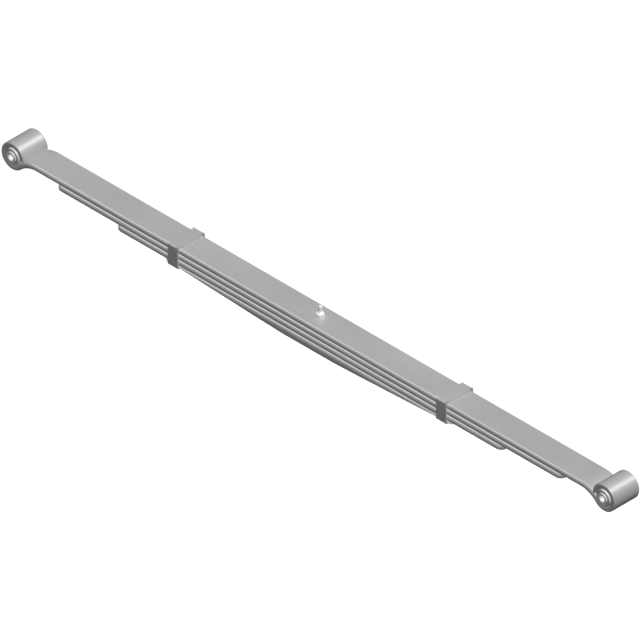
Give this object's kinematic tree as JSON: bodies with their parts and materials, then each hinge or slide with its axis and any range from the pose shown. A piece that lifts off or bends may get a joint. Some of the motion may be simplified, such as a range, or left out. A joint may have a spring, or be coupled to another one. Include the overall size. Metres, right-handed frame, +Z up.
{
  "type": "leaf spring",
  "caption": "Flat multi-leaf suspension spring with rolled bushed eyes at both ends, a centre bolt and two steel clips round the pack.",
  "frame": {"origin": "centre of the axle seat, on the underside of the fourth leaf, on the centre bolt's axis", "axes": "+X along the leaves to the rear eye, +Y across the leaves along the eye axes, +Z up from the seat to the main leaf"},
  "size_m": [1.546, 0.071, 0.0867],
  "materials": {
    "leaf_steel": "satin grey-painted spring steel",
    "clip_steel": "satin grey-painted strip",
    "zinc": "bright zinc plate",
    "shell_steel": "turned steel",
    "rubber": null,
    "liner": "matt moulded plastic"
  },
  "bodies": {
    "leaf_pack": {"main_leaf": "leaf_steel", "second_leaf": "leaf_steel", "third_leaf": "leaf_steel", "fourth_leaf": "leaf_steel", "centre_bolt": "zinc", "centre_nut": "zinc", "upper_centre_liner": "liner", "middle_centre_liner": "liner", "lower_centre_liner": "liner"},
    "front_arm": {"front_bushing_shell": "shell_steel", "front_bushing_rubber": "rubber", "front_clip": "clip_steel", "front_clip_liner": "liner", "front_clip_rivet": "clip_steel", "second_leaf_front_tip_liner": "liner", "third_leaf_front_tip_liner": "liner", "fourth_leaf_front_tip_liner": "liner"},
    "rear_arm": {"rear_bushing_shell": "shell_steel", "rear_bushing_rubber": "rubber", "rear_clip": "clip_steel", "rear_clip_liner": "liner", "rear_clip_rivet": "clip_steel", "second_leaf_rear_tip_liner": "liner", "third_leaf_rear_tip_liner": "liner", "fourth_leaf_rear_tip_liner": "liner"},
    "front_sleeve": {"front_bushing_sleeve": "shell_steel"},
    "rear_sleeve": {"rear_bushing_sleeve": "shell_steel"}
  },
  "joints": [
    {"name": "front_flex", "type": "hinge", "parent": "leaf_pack", "child": "front_arm", "pos_m": [-0.18, 0, 0.0497], "axis": [0, 1, 0], "range_deg": [-7.5, 3.5], "stiffness_Nm_per_rad": 10200, "deforming": ["main_leaf", "second_leaf", "third_leaf", "fourth_leaf"]},
    {"name": "rear_flex", "type": "hinge", "parent": "leaf_pack", "child": "rear_arm", "pos_m": [0.18, 0, 0.0497], "axis": [0, -1, 0], "range_deg": [-7.5, 3.5], "stiffness_Nm_per_rad": 10200, "deforming": ["main_leaf", "second_leaf", "third_leaf", "fourth_leaf"]},
    {"name": "front_bushing_twist", "type": "hinge", "parent": "front_arm", "child": "front_sleeve", "pos_m": [-0.745, 0, 0.0487], "axis": [0, 1, 0], "range_deg": [-25, 25], "stiffness_Nm_per_rad": 40},
    {"name": "rear_bushing_twist", "type": "hinge", "parent": "rear_arm", "child": "rear_sleeve", "pos_m": [0.745, 0, 0.0487], "axis": [0, 1, 0], "range_deg": [-25, 25], "stiffness_Nm_per_rad": 40}
  ]
}
